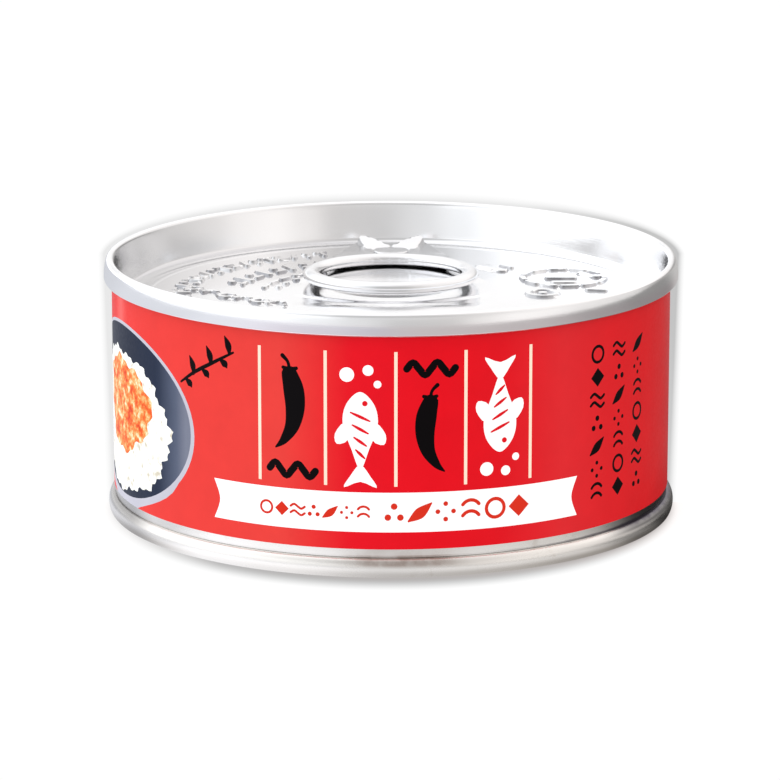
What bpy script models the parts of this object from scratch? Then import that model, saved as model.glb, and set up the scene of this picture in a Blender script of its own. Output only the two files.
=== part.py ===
# A shut, low round food can: ring-pull lid, paper label round the wall, double seams top and bottom.
# Metres, +Z up. The origin is the middle of the ring that the can stands on, and the pull ring points to -Y.
# Heights and radii below are in millimetres, and mm turns them into metres.
from math import atan, cos, degrees, pi, radians, sin, sqrt

import bmesh
import bpy
from mathutils import Matrix, Vector

mm = 0.001

# The can's driving dimensions
can_height = 34.4
wall_radius = 37.15
label_radius = 37.42
label_thickness = 0.12
label_bottom = 3.64
label_top = 31.3
clearance = 0.3
round_steps = 80

# The rolled seams at both ends
top_seam_radius = 38.45
top_seam_bottom = 31.5
top_seam_round = 0.65
bottom_seam_radius = 38.2
bottom_seam_top = 2.55
bottom_seam_top_round = 0.9
bottom_seam_foot_round = 0.45
bottom_seam_width = 1.25
seam_edge = 0.3

# The lid: its panel lies deep inside the rim, and turns up into the sloping wall in a round
panel_height = 28.8
panel_thickness = 0.9
bead_radius = 32.9
bead_height = 0.12
bead_foot_half_width = 0.6
bead_top_half_width = 0.2
chuck_foot_radius = 36.25
chuck_foot_round = 1.1
chuck_top_radius = 37.15
chuck_top_drop = 0.5
sheet_width = 0.2

# The finger well in the panel: the cap of an ellipsoid
well_depth = 0.35
well_half_width = 15.0
well_front = -9.1
well_back = -1.3
well_turn_steps = 28
well_rise_steps = 12

# The base: its panel lies inside the bottom seam, clear of the ground
base_panel_height = 1.4
base_groove_height = 2.0
base_panel_radius = 35.0
base_edge = 0.3
base_groove_width = 0.5
base_top_drop = 0.1
base_ring_radii = (26.0, 17.0)
base_ring_step = 0.25
base_ring_half_width = 0.5

# The pull tab: a ring with a solid nose behind it
ring_centre_y = 7.05
ring_radius = 10.8
ring_half_width = 1.2
ring_half_height = 0.85
ring_height = 30.2
ring_tilt = radians(-1.3)
ring_steps = 48
ring_section_steps = 12
nose_bottom = 29.2
nose_top = 29.85
nose_shoulder_y = 23.7
nose_tip_y = 33.5
nose_shoulder_half_width = 8.3
nose_tip_half_width = 4.5
nose_shoulder_round = 2.5
nose_tip_round = 1.2
nose_edge = 0.3
nose_back_angle = 32
nose_back_steps = 16
valley_start_y = 27.7
valley_depth = 0.45
valley_half_width = 2.3

# Two raised lobes on the nose, alike on both sides, whose faces lean towards the ring
lobe_outline = ((0.2, 27.4), (3.0, 25.9), (4.5, 30.4), (3.7, 31.0), (2.2, 29.6))
lobe_foot_y = 26.0
lobe_foot_height = 29.8
lobe_slope = 0.192
lobe_root = 0.3

# The rivet that holds the tab
rivet_y = 24.8
rivet_head_radius = 2.45
rivet_head_top = 29.95
rivet_head_thickness = 0.25
rivet_head_edge = 0.15
rivet_shank_radius = 1.3
rivet_foot_gap = 0.2
rivet_steps = 24
pocket_depth = 0.45
pocket_steps = 32
hole_steps = 20


def clear_scene():
    for obj in list(bpy.data.objects):
        bpy.data.objects.remove(obj, do_unlink=True)


def collection(name):
    made = bpy.data.collections.new(name)
    bpy.context.scene.collection.children.link(made)
    return made


def material(name, colour, roughness, metallic):
    made = bpy.data.materials.new(name)
    made.use_nodes = True
    shader = made.node_tree.nodes["Principled BSDF"]
    shader.inputs["Base Color"].default_value = (*colour, 1)
    shader.inputs["Roughness"].default_value = roughness
    shader.inputs["Metallic"].default_value = metallic
    return made


def add(name, mesh, into, look=None):
    made = bpy.data.objects.new(name, mesh)
    into.objects.link(made)
    if look:
        mesh.materials.append(look)
    return made


def arc(centre, radius, start, end, steps):
    """Points of a round stretch of a profile, with the angles in degrees from +X towards +Z."""
    turns = [radians(start + (end - start) * i / steps) for i in range(steps + 1)]
    return [(centre[0] + radius * cos(a), centre[1] + radius * sin(a)) for a in turns]


def turned(name, profile, into, look, closed=False, steps=round_steps):
    """A solid of revolution about Z, from (radius, height) points that run down its outer side."""
    mesh = bpy.data.meshes.new(name)
    points = [(r * mm, 0, z * mm) for r, z in profile]
    edges = [(i, i + 1) for i in range(len(points) - 1)]
    if closed:
        edges.append((len(points) - 1, 0))
    mesh.from_pydata(points, edges, [])
    made = add(name, mesh, into, look)
    screw = made.modifiers.new("Turn", "SCREW")
    screw.axis = "Z"
    screw.steps = steps
    screw.render_steps = steps
    screw.use_merge_vertices = True
    screw.merge_threshold = 0.00001
    screw.use_smooth_shade = True
    return made


def helper(obj):
    obj.hide_render = True
    obj.display_type = "WIRE"
    return obj


def cut(obj, cutter, operation="DIFFERENCE"):
    modifier = obj.modifiers.new(cutter.name, "BOOLEAN")
    modifier.operation = operation
    modifier.object = helper(cutter)
    modifier.solver = "EXACT"


def primitive(name, build, into):
    """A mesh object made by build(bm), with bm's shape in metres."""
    mesh = bpy.data.meshes.new(name)
    bm = bmesh.new()
    build(bm)
    bm.to_mesh(mesh)
    bm.free()
    return add(name, mesh, into)


def round_cutter(name, radius, low, high, y, into, segments):
    def build(bm):
        middle = Matrix.Translation(Vector((0, y, (low + high) / 2)) * mm)
        bmesh.ops.create_cone(
            bm,
            cap_ends=True,
            segments=segments,
            radius1=radius * mm,
            radius2=radius * mm,
            depth=(high - low) * mm,
            matrix=middle,
        )

    return primitive(name, build, into)


def make_wall(parts, look):
    """The can's wall and what it holds, as one plug between the lid and the base."""
    top = panel_height - panel_thickness - clearance
    bottom = bottom_seam_top - base_top_drop + clearance
    profile = [(0, top), (wall_radius, top), (wall_radius, bottom), (0, bottom)]
    return turned("body", profile, parts, look)


def make_label(parts, look):
    inner = label_radius - label_thickness
    profile = [
        (label_radius, label_top),
        (label_radius, label_bottom),
        (inner, label_bottom),
        (inner, label_top),
    ]
    return turned("label", profile, parts, look, closed=True)


def make_lid(parts, cutters, look):
    """Panel, bead, chuck wall and double seam, with the finger well pressed into the panel."""
    bead = [
        (bead_radius - bead_foot_half_width, panel_height),
        (bead_radius - bead_top_half_width, panel_height + bead_height),
        (bead_radius + bead_top_half_width, panel_height + bead_height),
        (bead_radius + bead_foot_half_width, panel_height),
    ]
    lean = (chuck_top_radius - chuck_foot_radius) / (can_height - panel_height)
    tilt = atan(lean)
    rise = chuck_foot_round * (1 - sin(tilt))
    foot_middle = chuck_foot_radius + lean * rise - chuck_foot_round * cos(tilt)
    foot = arc((foot_middle, panel_height + chuck_foot_round), chuck_foot_round, -90, -degrees(tilt), 5)
    chuck_top = (chuck_top_radius, can_height - chuck_top_drop)
    crest_middle = (top_seam_radius - top_seam_round, can_height - top_seam_round)
    crest = arc(crest_middle, top_seam_round, 135, 0, 6)
    underside = panel_height - panel_thickness
    hidden = [
        (top_seam_radius, top_seam_bottom + seam_edge),
        (top_seam_radius - seam_edge, top_seam_bottom),
        (chuck_foot_radius + sheet_width + lean * (top_seam_bottom - panel_height), top_seam_bottom),
        (chuck_foot_radius + sheet_width, panel_height),
        (chuck_foot_radius, underside),
        (0, underside),
    ]
    profile = [(0, panel_height), *bead, *foot, chuck_top, *crest, *hidden]
    lid = turned("lid", profile, parts, look)

    # Half of the ellipsoid's lower half stays above the panel, so its cap is well_depth deep
    cap = sqrt(1 - 0.5**2)
    size = Vector((well_half_width / cap, (well_back - well_front) / 2 / cap, 2 * well_depth))

    def build(bm):
        place = Vector((0, (well_front + well_back) / 2, panel_height + well_depth)) * mm
        stretch = Matrix.Diagonal((*(size * mm), 1))
        bmesh.ops.create_uvsphere(
            bm,
            u_segments=well_turn_steps,
            v_segments=well_rise_steps,
            radius=1,
            matrix=Matrix.Translation(place) @ stretch,
        )

    cut(lid, primitive("finger_well_cutter", build, cutters))
    return lid


def make_base(parts, look):
    """The bottom seam, which the can stands on, and the panel inside it with its two stiffening rings."""
    outer = bottom_seam_radius
    top = bottom_seam_top
    top_round = bottom_seam_top_round
    foot_round = bottom_seam_foot_round
    groove_outer = base_panel_radius + base_edge + 2 * base_groove_width
    seam = [
        (0, top - base_top_drop),
        (wall_radius, top - base_top_drop),
        *arc((outer - top_round, top - top_round), top_round, 85, 0, 5),
        *arc((outer - foot_round, foot_round), foot_round, 0, -90, 4),
        (outer - bottom_seam_width, 0),
    ]
    recess = [
        (outer - bottom_seam_width - base_top_drop, base_edge),
        (groove_outer, base_groove_height - base_edge),
        (groove_outer - base_edge, base_groove_height),
        (groove_outer - base_edge - base_groove_width, base_groove_height),
        (base_panel_radius + base_edge, base_panel_height + base_edge),
        (base_panel_radius, base_panel_height),
    ]
    rings = []
    height = base_panel_height
    for radius in base_ring_radii:
        rings.append((radius + base_ring_half_width, height))
        height += base_ring_step
        rings.append((radius - base_ring_half_width, height))
    return turned("base", [*seam, *recess, *rings, (0, height)], parts, look)


def nose_outline():
    """Points of the nose seen from above: its sides and round tip, then back along the ring's centre line."""
    ring_back = ring_centre_y + ring_radius + ring_half_width
    run = Vector((nose_shoulder_half_width - nose_tip_half_width, nose_shoulder_y - nose_tip_y)).normalized()
    slope = Vector((nose_tip_half_width, nose_tip_y)) + run * 2 * nose_tip_round
    side = [
        (nose_shoulder_half_width + nose_edge, ring_back - nose_edge),
        (nose_shoulder_half_width, nose_shoulder_y - nose_shoulder_round / 2),
        (nose_shoulder_half_width - nose_edge, nose_shoulder_y),
        (nose_shoulder_half_width - nose_shoulder_round / 2, nose_shoulder_y + nose_shoulder_round),
        tuple(slope),
        *arc((nose_tip_half_width - nose_tip_round, nose_tip_y - nose_tip_round), nose_tip_round, 20, 90, 3),
    ]
    turns = (nose_back_angle, 180 - nose_back_angle)
    inner = arc((0, ring_centre_y), ring_radius, *turns, nose_back_steps)
    return [*side, *[(-x, y) for x, y in reversed(side)], *reversed(inner)]


def raised(outline, low, high_at):
    """Builds a straight block over an outline of (x, y) points; high_at gives its height at each y."""

    def build(bm):
        under = [bm.verts.new(Vector((x, y, low)) * mm) for x, y in outline]
        over = [bm.verts.new(Vector((x, y, high_at(y))) * mm) for x, y in outline]
        bm.faces.new(under)
        bm.faces.new(over)
        for i in range(len(outline)):
            n = (i + 1) % len(outline)
            bm.faces.new((under[i], under[n], over[n], over[i]))
        bmesh.ops.recalc_face_normals(bm, faces=bm.faces[:])

    return build


def make_tab(parts, cutters, look):
    """One solid: the ring, the nose behind it with its lobes, and the pocket and hole for the rivet."""
    bpy.ops.mesh.primitive_torus_add(
        major_segments=ring_steps,
        minor_segments=ring_section_steps,
        major_radius=ring_radius * mm,
        minor_radius=ring_half_width * mm,
    )
    tab = bpy.context.object
    tab.name = "tab"
    for holder in list(tab.users_collection):
        holder.objects.unlink(tab)
    parts.objects.link(tab)
    tab.data.materials.append(look)
    tab.data.transform(Matrix.Diagonal((1, 1, ring_half_height / ring_half_width, 1)))
    tab.location = Vector((0, ring_centre_y, ring_height)) * mm
    tab.rotation_euler = (ring_tilt, 0, 0)

    plate = raised(nose_outline(), nose_bottom, lambda y: nose_top)
    cut(tab, primitive("nose_shape", plate, cutters), "UNION")

    # A bar of diamond section whose lower edge sinks from the rivet towards the tip
    length = nose_tip_y - valley_start_y

    def valley(bm):
        side = 2 * sqrt(2) * valley_depth
        bmesh.ops.create_cube(bm, size=1)
        turn = Matrix.Rotation(pi / 4, 4, "Y") @ Matrix.Diagonal((side, 2 * length, side, 1))
        widen = Matrix.Diagonal((valley_half_width / valley_depth, 1, 1, 1))
        sink = Matrix.Rotation(-valley_depth / length, 4, "X")
        drop = Matrix.Translation((0, length, 2 * valley_depth))
        place = Matrix.Translation((0, valley_start_y, nose_top))
        scale = Matrix.Diagonal((mm, mm, mm, 1))
        bmesh.ops.transform(bm, matrix=scale @ place @ sink @ drop @ widen @ turn, verts=bm.verts)

    cut(tab, primitive("valley_cutter", valley, cutters))

    def lobe_height(y):
        return lobe_foot_height + lobe_slope * (y - lobe_foot_y)

    for side, name in ((1, "right_lobe"), (-1, "left_lobe")):
        mirrored = [(side * x, y) for x, y in lobe_outline]
        lobe = raised(mirrored, nose_top - lobe_root, lobe_height)
        cut(tab, primitive(name, lobe, cutters), "UNION")

    pocket = rivet_head_radius + clearance
    hole = rivet_shank_radius + clearance
    floor = nose_top - pocket_depth
    cut(tab, round_cutter("pocket_cutter", pocket, floor, nose_top + 1, rivet_y, cutters, pocket_steps))
    cut(tab, round_cutter("hole_cutter", hole, nose_bottom - 1, nose_top, rivet_y, cutters, hole_steps))
    return tab


def make_rivet(parts, look):
    foot = panel_height + rivet_foot_gap
    under = rivet_head_top - rivet_head_thickness
    profile = [
        (0, rivet_head_top),
        (rivet_head_radius - rivet_head_edge, rivet_head_top),
        (rivet_head_radius, rivet_head_top - rivet_head_edge),
        (rivet_head_radius, under),
        (rivet_shank_radius, under),
        (rivet_shank_radius, foot),
        (0, foot),
    ]
    rivet = turned("rivet", profile, parts, look, steps=rivet_steps)
    rivet.location = (0, rivet_y * mm, 0)
    return rivet


def main():
    clear_scene()
    parts = collection("food_can")
    cutters = collection("cutters")
    steel = material("tinned steel", (0.72, 0.71, 0.70), 0.28, 1)
    bright = material("bright steel", (0.82, 0.82, 0.83), 0.2, 1)
    paper = material("red label", (0.78, 0.02, 0.02), 0.45, 0)
    make_wall(parts, steel)
    make_label(parts, paper)
    make_lid(parts, cutters, bright)
    make_base(parts, steel)
    tab = make_tab(parts, cutters, bright)
    tab.data.shade_smooth()
    make_rivet(parts, bright)


main()
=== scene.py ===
# A shut round food can with a pull-ring lid and a printed paper label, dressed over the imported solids.
# Lengths in the dictionaries are millimetres, and mm turns them into metres.
from math import asin, atan2, cos, degrees, hypot, pi, radians, sin, tan

import bmesh
import bpy
import numpy as np
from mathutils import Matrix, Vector
from mathutils.geometry import delaunay_2d_cdt


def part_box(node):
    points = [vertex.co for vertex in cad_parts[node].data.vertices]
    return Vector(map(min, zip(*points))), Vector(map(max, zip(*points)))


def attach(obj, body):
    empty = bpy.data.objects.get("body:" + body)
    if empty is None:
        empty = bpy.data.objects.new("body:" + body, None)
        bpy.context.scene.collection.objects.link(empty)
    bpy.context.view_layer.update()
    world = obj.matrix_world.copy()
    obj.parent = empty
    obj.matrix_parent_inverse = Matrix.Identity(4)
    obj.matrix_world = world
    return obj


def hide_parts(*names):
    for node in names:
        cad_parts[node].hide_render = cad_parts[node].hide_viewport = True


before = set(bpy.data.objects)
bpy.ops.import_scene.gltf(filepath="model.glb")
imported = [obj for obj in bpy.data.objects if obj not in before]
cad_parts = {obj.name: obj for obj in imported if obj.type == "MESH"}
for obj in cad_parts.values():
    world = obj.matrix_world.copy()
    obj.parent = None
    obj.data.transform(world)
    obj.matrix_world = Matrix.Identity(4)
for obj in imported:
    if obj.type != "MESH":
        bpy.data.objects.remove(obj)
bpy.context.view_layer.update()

mm = 0.001
scene = bpy.context.scene


def nodeBox(node):
    low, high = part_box(node)
    return low / mm, high / mm


lidLow, lidHigh = nodeBox("lid")
baseHigh = nodeBox("base")[1]
labelLow, labelHigh = nodeBox("label")
print("frame loaded: can", round(lidHigh.z, 2), "mm high,", round(2 * lidHigh.x, 2), "mm across")


# Small tools for shapes

def arcPoints(centre, radius, start, end, steps):
    turns = [radians(start + (end - start) * i / steps) for i in range(steps + 1)]
    return [(centre[0] + radius * cos(a), centre[1] + radius * sin(a)) for a in turns]


def smoothStep(x, low, high):
    t = np.clip((x - low) / (high - low), 0, 1)
    return t * t * (3 - 2 * t)


def addMesh(name, points, faces):
    mesh = bpy.data.meshes.new(name)
    mesh.from_pydata([tuple(float(c) * mm for c in p) for p in points], [], faces)
    obj = bpy.data.objects.new(name, mesh)
    scene.collection.objects.link(obj)
    return obj


def tidyMesh(obj, sharpAngle, merge=0.001):
    # merge doubled points, turn the faces outwards, then shade round with the real edges kept sharp
    bm = bmesh.new()
    bm.from_mesh(obj.data)
    bmesh.ops.remove_doubles(bm, verts=bm.verts[:], dist=merge * mm)
    bmesh.ops.dissolve_degenerate(bm, edges=bm.edges[:], dist=merge * mm / 2)
    bmesh.ops.recalc_face_normals(bm, faces=bm.faces[:])
    bm.to_mesh(obj.data)
    bm.free()
    obj.data.shade_smooth()
    obj.data.set_sharp_from_angle(angle=radians(sharpAngle))


def turnedMesh(profile, segments):
    # (radius, height) points turned about Z; a point on the axis is a single vertex
    points = []
    rings = []
    for r, z in profile:
        if r < 1e-6:
            rings.append([len(points)] * segments)
            points.append((0, 0, z))
            continue
        rings.append(list(range(len(points), len(points) + segments)))
        for k in range(segments):
            a = 2 * pi * k / segments
            points.append((r * cos(a), r * sin(a), z))
    faces = []
    for upper, lower in zip(rings, rings[1:]):
        for k in range(segments):
            n = (k + 1) % segments
            corners = [upper[k], upper[n], lower[n], lower[k]]
            faces.append([c for i, c in enumerate(corners) if c not in corners[:i]])
    return points, faces


def distanceTo(points, path, closed=False):
    # distance from every point to a path of straight stretches
    path = np.array(path, float).reshape(-1, 2)
    if len(path) == 1:
        return np.hypot(*(points - path[0]).T)
    best = np.full(len(points), 1e9)
    ends = np.roll(path, -1, axis=0) if closed else path[1:]
    for a, b in zip(path, ends):
        along = b - a
        size = along @ along
        if size < 1e-12:
            continue
        t = np.clip((points - a) @ along / size, 0, 1)
        best = np.minimum(best, np.hypot(*(points - a - t[:, None] * along).T))
    return best


def insideLoop(points, loop):
    # even-odd test of every point against a closed loop
    loop = np.array(loop, float)
    x, y = points[:, 0], points[:, 1]
    inside = np.zeros(len(points), bool)
    for (ax, ay), (bx, by) in zip(loop, np.roll(loop, -1, axis=0)):
        crosses = (ay > y) != (by > y)
        rise = by - ay if by != ay else 1e-12
        inside ^= crosses & (x < (bx - ax) * (y - ay) / rise + ax)
    return inside


def gridPoints(low, high, step):
    # a triangular grid over a rectangle
    rowStep = 0.866 * step
    rows = int((high[1] - low[1]) / rowStep) + 2
    columns = int((high[0] - low[0]) / step) + 2
    found = []
    for j in range(rows):
        shift = 0.5 * (j % 2)
        found += [(low[0] + (i + shift) * step, low[1] + j * rowStep) for i in range(columns)]
    return found


# Small tools for materials

class Tree:
    # adds nodes to a node tree; an input given as an output is linked
    def __init__(self, tree):
        self.tree = tree

    def node(self, kind, inputs=None, **values):
        made = self.tree.nodes.new(kind)
        for key, value in values.items():
            setattr(made, key, value)
        for key, value in (inputs or {}).items():
            if isinstance(value, bpy.types.NodeSocket):
                self.tree.links.new(value, made.inputs[key])
            else:
                made.inputs[key].default_value = value
        return made

    def math(self, operation, a, b=0.0):
        return self.node("ShaderNodeMath", {0: a, 1: b}, operation=operation).outputs[0]

    def times(self, first, *others):
        for other in others:
            first = self.math("MULTIPLY", first, other)
        return first

    def minus(self, a, b):
        return self.math("SUBTRACT", a, b)

    def place(self, kind="Object"):
        return self.node("ShaderNodeTexCoord").outputs[kind]

    def parts(self, vector):
        return self.node("ShaderNodeSeparateXYZ", {0: vector}).outputs

    def noise(self, vector, scale, detail=2.0, roughness=0.5):
        inputs = {"Vector": vector, "Scale": scale, "Detail": detail, "Roughness": roughness}
        return self.node("ShaderNodeTexNoise", inputs).outputs["Fac"]

    def span(self, value, low, high, newLow=0.0, newHigh=1.0, kind="LINEAR"):
        inputs = {0: value, 1: low, 2: high, 3: newLow, 4: newHigh}
        return self.node("ShaderNodeMapRange", inputs, interpolation_type=kind).outputs[0]

    def ease(self, value, low, high, newLow=0.0, newHigh=1.0):
        return self.span(value, low, high, newLow, newHigh, "SMOOTHSTEP")

    def ramp(self, factor, stops, kind="LINEAR"):
        made = self.node("ShaderNodeValToRGB", {"Fac": factor})
        band = made.color_ramp
        band.interpolation = kind
        while len(band.elements) < len(stops):
            band.elements.new(0.5)
        for element, (where, colour) in zip(band.elements, stops):
            element.position = where
            element.color = (*colour, 1)
        return made.outputs["Color"]

    def blend(self, share, first, second):
        return self.node("ShaderNodeMix", {0: share, 2: first, 3: second}, data_type="FLOAT").outputs[0]

    def tint(self, share, first, second):
        # each colour is given as three numbers or comes from a node
        linked = bpy.types.NodeSocket
        first, second = [c if isinstance(c, linked) else (*c, 1) for c in (first, second)]
        return self.node("ShaderNodeMix", {0: share, 6: first, 7: second}, data_type="RGBA").outputs[2]

    def distance(self, x, y):
        return self.math("SQRT", self.math("ADD", self.times(x, x), self.times(y, y)))

    def turnShare(self, x, y):
        # 0 to 1 for a turn of -180 to 180 degrees, from the front towards the right
        turn = self.math("ARCTAN2", x, self.times(y, -1.0))
        return self.span(turn, -pi, pi)

    def tones(self, share, stops):
        # brightness round the can, from (angle, value) stops
        peak = max(value for _, value in stops)
        band = [(angle / 360 + 0.5, [value / peak] * 3) for angle, value in stops]
        return self.times(self.ramp(share, band, "EASE"), peak)


class Look(Tree):
    # a node material round one principled shader
    def __init__(self, name, colour, roughness, metallic=0.0, specular=0.5):
        self.material = bpy.data.materials.new(name)
        self.material.use_nodes = True
        super().__init__(self.material.node_tree)
        self.shader = self.tree.nodes["Principled BSDF"]
        self.set("Base Color", (*colour, 1))
        self.set("Roughness", roughness)
        self.set("Metallic", metallic)
        self.set("Specular IOR Level", specular)

    def set(self, socket, value):
        self.shader.inputs[socket].default_value = value

    def link(self, output, socket):
        self.tree.links.new(output, self.shader.inputs[socket])

    def bump(self, height, distance, strength=1.0, under=None):
        inputs = {"Height": height, "Distance": distance, "Strength": strength}
        made = self.node("ShaderNodeBump", inputs)
        if under:
            self.tree.links.new(under, made.inputs["Normal"])
        return made.outputs["Normal"]

    def roundPlace(self, radiusScale, angleScale, heightScale):
        # coordinates that run round the can's axis: radius, turn and height
        x, y, z = self.parts(self.place())
        inputs = {
            0: self.times(self.distance(x, y), radiusScale),
            1: self.times(self.math("ARCTAN2", y, x), angleScale),
            2: self.times(z, heightScale),
        }
        return self.node("ShaderNodeCombineXYZ", inputs).outputs[0]


def tone(red, green, blue):
    # a colour as a screen shows it, 0 to 255, turned into the linear one that the shader wants
    def linear(c):
        c /= 255
        return c / 12.92 if c <= 0.04045 else ((c + 0.055) / 1.055) ** 2.4

    return tuple(linear(c) for c in (red, green, blue))


# Camera, as fitted to the two rims in the photograph

cameraSetup = {
    "elevation": 13.21,
    "distance": 579.5,
    "turnsAbout": (0, 0, 17.0),
    "aim": (-0.13, -0.3, 15.7),
    "lens": 198.2,
}


def makeCamera():
    rise = radians(cameraSetup["elevation"])
    far = cameraSetup["distance"]
    place = Vector(cameraSetup["turnsAbout"]) + Vector((0, -cos(rise), sin(rise))) * far
    data = bpy.data.cameras.new("camera")
    data.lens = cameraSetup["lens"]
    data.clip_start = 0.01
    obj = bpy.data.objects.new("camera", data)
    obj.location = place * mm
    view = Vector(cameraSetup["aim"]) - place
    obj.rotation_euler = view.to_track_quat("-Z", "Y").to_euler()
    scene.collection.objects.link(obj)
    scene.camera = obj


makeCamera()


# Metal finishes, with places on the can in metres

steelLook = {
    "brushRadius": 9000,
    "brushTurn": 6,
    "brushHeight": 9000,
    "streak": 0.02,
    "cloudScale": 90.0,
    "cloudShade": 0.95,
    "grainScale": 2600.0,
    "grainDepth": 0.0000015,
    "wallColour": (0.885, 0.855, 0.82),
    "wallRoughness": 0.26,
    "tabColour": (0.87, 0.87, 0.885),
    "tabRoughness": 0.17,
}

# the lid's steel finish, with its painted shades and painted reflection
lidFinishAndShade = {
    "colour": (0.95, 0.95, 0.96),
    "roughness": 0.13,
    # painted shade for the steep sides of the pressed signs
    "slopePaintedShade": (0.36, 0.36, 0.38),
    "pressedReach": (0.0312, 0.0315),
    "pressedScale": 260.0,
    # painted shade inside the rim on the left
    "leftPaintedShade": (0.68, 0.685, 0.695),
    "leftShadeFrom": (-0.038, -0.017),
    "rimInside": (0.0371, 0.0373),
    "rimOutside": (0.038, 0.0382),
    # painted reflection of the red label on the rim's lower edge
    "labelReflection": (0.93, 0.87, 0.9),
    "labelReflectionFrom": (-0.026, -0.012),
    "labelReflectionUp": (0.0334, 0.0322),
    # painted shade in the corner at the sloping wall's foot
    "cornerOut": (0.03555, 0.0358),
    "cornerUp": (0.02895, 0.02935),
    "cornerFade": (-0.014, 0.006),
    "cornerPaintedShade": (0.66, 0.66, 0.68),
}

wallStainsAndShade = {
    "smudge": (0.42, 0.33, 0.25),
    "spotScale": 330.0,
    "patchScale": 60.0,
    "raggedScale": 500.0,
    "edgeStain": (0.50, 0.42, 0.38),
    "edgeStainAt": (0.0015, 0.0095),
    "edgeStainFoot": (0.0013, 0.0018),
    "edgeStainTop": (0.0027, 0.0029),
    # painted shade at both ends of the seam and towards its foot
    "endPaintedShade": (0.1, 0.095, 0.1),
    "upperSide": (0.0015, 0.002),
    "rightEnd": (0.0265, 0.0325),
    "leftEnd": (-0.0305, -0.0345),
    "footPaintedShade": (0.38, 0.34, 0.3),
    "footUp": (0.0013, 0.0004),
    "footRight": (-0.02, 0.036),
    "footLeft": (-0.024, -0.031),
    # painted shade in the corner above the seam
    "creasePaintedShade": (0.06, 0.045, 0.08),
    "creaseHeight": 0.00262,
    "creaseReach": (0.00022, 0.0006),
    "creaseSwell": (0.028, 0.035),
    "creaseFrom": (0.012, 0.034),
}


def makeSteel(name, colour, roughness, brushDepth=0.000003, cloud=0.05):
    look = Look(name, colour, roughness, metallic=1.0)
    s = steelLook
    # fine lines that run round the can, as rolling and seaming leave them
    around = look.roundPlace(s["brushRadius"], s["brushTurn"], s["brushHeight"])
    lines = look.noise(around, 1.0, 3.0, 0.6)
    # faint clouds where the sheet is duller or was handled
    clouds = look.noise(look.place(), s["cloudScale"], 3.0, 0.55)
    dull = look.span(clouds, 0.35, 0.7, roughness - cloud / 2, roughness + cloud)
    streak = look.span(lines, 0.3, 0.7, -s["streak"], s["streak"])
    look.link(look.math("ADD", dull, streak), "Roughness")
    dark = tuple(c * s["cloudShade"] for c in colour)
    look.link(look.ramp(clouds, [(0.3, dark), (0.5, colour), (1.0, colour)]), "Base Color")
    grain = look.noise(look.place(), s["grainScale"], 2.0)
    under = look.bump(grain, s["grainDepth"])
    look.link(look.bump(lines, brushDepth, under=under), "Normal")
    return look


def makeLidSteel():
    # the bright steel of the lid, with painted shade on the steep sides of the signs pressed into the
    # panel
    s = lidFinishAndShade
    look = makeSteel("lid tinplate", s["colour"], s["roughness"])
    x, y, z = look.parts(look.place())
    out = look.distance(x, y)
    # painted shade: the steeper a side of a pressed sign leans, the darker it is, unevenly from place to
    # place
    upright = look.parts(look.place("Normal"))[2]
    steep = look.ease(upright, 0.5, 0.95, 1.0, 0.0)
    uneven = look.span(look.noise(look.place(), s["pressedScale"]), 0.36, 0.56, 0.3, 1.0)
    slopeShade = look.times(steep, look.span(out, *s["pressedReach"], 1.0, 0.0), uneven)
    # painted shade inside the rim, darker towards the left end
    inside = look.span(out, *s["rimInside"], 1.0, 0.0)
    leftPaintedShade = look.times(look.ease(x, *s["leftShadeFrom"], 1.0, 0.0), inside)
    plain = look.tint(leftPaintedShade, s["colour"], s["leftPaintedShade"])
    # painted reflection of the red label at the rim's lower edge, away from the left end
    reflectedShare = look.times(look.ease(z, *s["labelReflectionUp"]), look.span(out, *s["rimOutside"]))
    reflectedShare = look.times(reflectedShare, look.ease(x, *s["labelReflectionFrom"]))
    plain = look.tint(reflectedShare, plain, s["labelReflection"])
    # painted shade in the corner at the sloping wall's foot, again on the left
    corner = look.times(look.span(out, *s["cornerOut"]), look.ease(z, *s["cornerUp"], 1.0, 0.0))
    corner = look.times(corner, look.span(x, *s["cornerFade"], 1.0, 0.0))
    plain = look.tint(corner, plain, s["cornerPaintedShade"])
    look.link(look.tint(slopeShade, plain, s["slopePaintedShade"]), "Base Color")
    return look.material


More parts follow.
